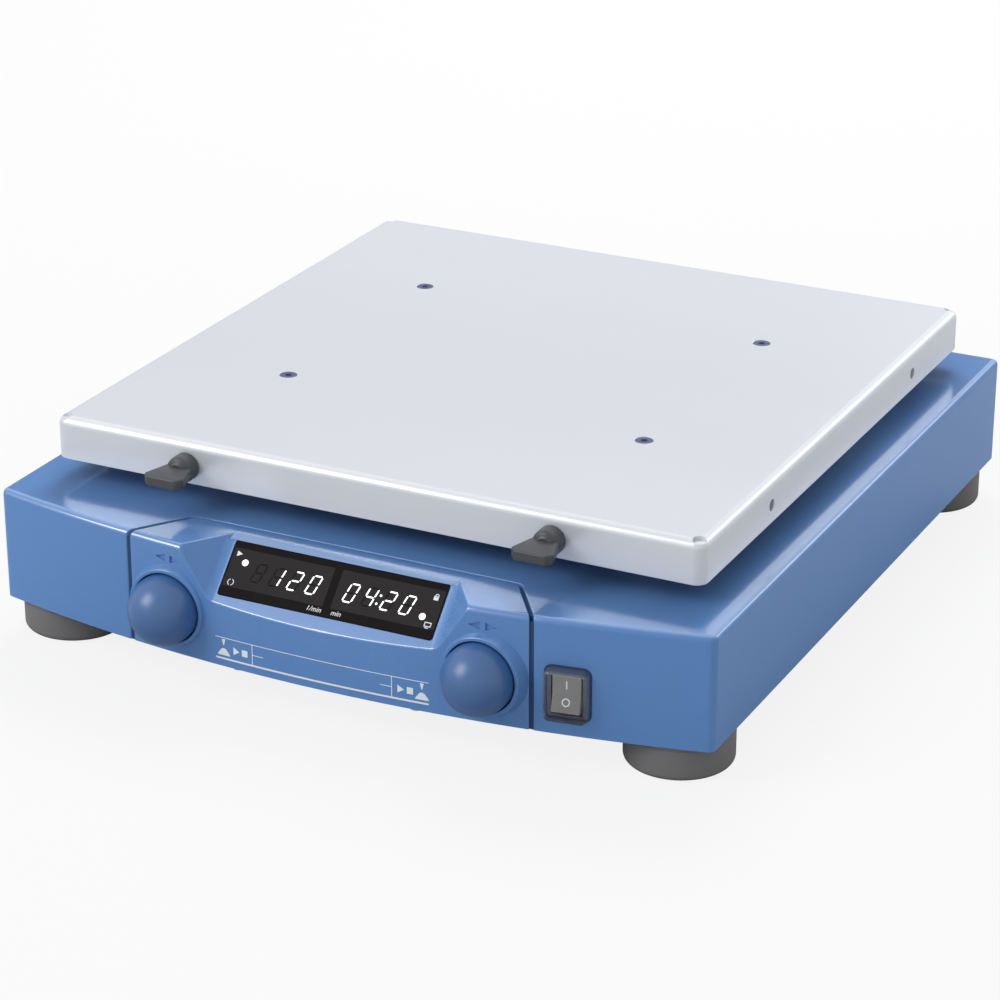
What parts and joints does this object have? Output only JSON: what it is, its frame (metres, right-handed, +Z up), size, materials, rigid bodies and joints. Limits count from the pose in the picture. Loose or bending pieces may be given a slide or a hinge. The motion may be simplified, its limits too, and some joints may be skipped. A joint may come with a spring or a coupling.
{
  "type": "linear shaker",
  "caption": "Bench linear shaker: a sheet-metal tray that slides left and right over a low housing with a bowed front, a sloping display and two push knobs.",
  "frame": {"origin": "on the bench, under the middle of the bounding box", "axes": "+X to the right, +Y to the back, +Z up; the front with display and knobs faces -Y"},
  "size_m": [0.36, 0.4092, 0.1022],
  "materials": {
    "housing": "semi-gloss blue powder coat",
    "panel": "satin blue moulding",
    "knob": "satin blue moulding",
    "plate": "grey coated steel sheet",
    "tray": "satin anodised sheet",
    "rubber": "matt dark rubber",
    "steel": "plain steel",
    "aluminium": "machined aluminium",
    "brass": "plain brass",
    "window": "dark glossy acrylic",
    "module": "dark display module",
    "board": "green circuit board",
    "black": "black moulding",
    "rocker": "dark grey rocker",
    "clear": "clear flexible cover",
    "belt": "black belt"
  },
  "bodies": {
    "base": {"housing": "housing", "base_plate": "plate", "foot_front_left": "rubber", "foot_front_right": "rubber", "foot_rear_left": "rubber", "foot_rear_right": "rubber", "foot_screws": "steel", "housing_screws": "steel", "mechanism_screws": "steel", "front_panel": "panel", "display_window": "window", "speed_display": "module", "timer_display": "module", "display_board": "board", "panel_screws": "steel", "speed_encoder": "black", "timer_encoder": "black", "knob_boards": "board", "switch_frame": "black", "switch_cover": "clear", "guide_rod_front": "steel", "guide_rod_rear": "steel", "rod_supports": "aluminium", "crank_bearing_block": "aluminium", "crank_bearings": "steel", "motor_housing": "aluminium", "drive_belt": "belt", "main_board": "board", "board_standoffs": "brass", "board_parts": "black", "power_supply": "steel", "mains_inlet": "black", "inlet_blades": "brass", "serial_port": "steel"},
    "carriage": {"carriage_plate": "aluminium", "bushing_blocks": "aluminium", "ball_bushings": "steel", "yoke": "aluminium", "tray_posts": "aluminium", "carriage_screws": "steel", "tray": "tray", "tray_screws": "steel", "flange_inserts": "steel"},
    "crank": {"crank_shaft": "steel", "driven_pulley": "aluminium", "crank_pin": "steel", "crank_follower": "steel"},
    "motor_rotor": {"motor_shaft": "steel", "motor_pulley": "aluminium"},
    "speed_plunger": {"speed_plunger": "black"},
    "speed_knob": {"speed_knob": "knob", "speed_shaft": "steel"},
    "timer_plunger": {"timer_plunger": "black"},
    "timer_knob": {"timer_knob": "knob", "timer_shaft": "steel"},
    "rocker": {"switch_rocker": "rocker"},
    "thumb_left_stud": {"thumb_stud_left": "steel"},
    "thumb_left": {"thumb_screw_left": "black"},
    "thumb_right_stud": {"thumb_stud_right": "steel"},
    "thumb_right": {"thumb_screw_right": "black"}
  },
  "joints": [
    {"name": "tray_slide", "type": "slide", "parent": "base", "child": "carriage", "axis": [1, 0, 0], "range_m": [-0.01, 0.01]},
    {"name": "crank_turn", "type": "hinge", "parent": "base", "child": "crank", "pos_m": [0, 0.0226, 0.04], "axis": [0, 0, 1], "range_deg": [-90.1, 90.1]},
    {"name": "motor_turn", "type": "hinge", "parent": "base", "child": "motor_rotor", "pos_m": [-0.1, 0.0226, 0.04], "axis": [0, 0, 1], "range_deg": [-270.2, 270.2]},
    {"name": "rocker_turn", "type": "hinge", "parent": "base", "child": "rocker", "pos_m": [0.11714, -0.17745, 0.0372], "axis": [0.9876, 0.157, 0], "range_deg": [0, 18]},
    {"name": "speed_push", "type": "slide", "parent": "base", "child": "speed_plunger", "axis": [0, 1, 0], "range_m": [0, 0.0015], "stiffness_N_per_m": 1500, "springref_m": -0.0005},
    {"name": "speed_turn", "type": "hinge", "parent": "speed_plunger", "child": "speed_knob", "pos_m": [-0.079, -0.19, 0.0399], "axis": [0, 1, 0], "continuous": true},
    {"name": "timer_push", "type": "slide", "parent": "base", "child": "timer_plunger", "axis": [0, 1, 0], "range_m": [0, 0.0015], "stiffness_N_per_m": 1500, "springref_m": -0.0005},
    {"name": "timer_turn", "type": "hinge", "parent": "timer_plunger", "child": "timer_knob", "pos_m": [0.079, -0.19, 0.0399], "axis": [0, 1, 0], "continuous": true},
    {"name": "thumb_out_left", "type": "slide", "parent": "carriage", "child": "thumb_left_stud", "axis": [0, -1, 0], "range_m": [0, 0.009]},
    {"name": "thumb_turn_left", "type": "hinge", "parent": "thumb_left_stud", "child": "thumb_left", "pos_m": [-0.0924, -0.1426, 0.0904], "axis": [0, -1, 0], "range_deg": [0, 3241]},
    {"name": "thumb_out_right", "type": "slide", "parent": "carriage", "child": "thumb_right_stud", "axis": [0, -1, 0], "range_m": [0, 0.009]},
    {"name": "thumb_turn_right", "type": "hinge", "parent": "thumb_right_stud", "child": "thumb_right", "pos_m": [0.0924, -0.1426, 0.0904], "axis": [0, -1, 0], "range_deg": [0, 3241]}
  ],
  "couplings": [
    {"joint": "crank_turn", "follows": "tray_slide", "rad_per_m": 157.08},
    {"joint": "motor_turn", "follows": "tray_slide", "rad_per_m": 471.24},
    {"joint": "thumb_turn_left", "follows": "thumb_out_left", "rad_per_m": 6283.2},
    {"joint": "thumb_turn_right", "follows": "thumb_out_right", "rad_per_m": 6283.2}
  ]
}
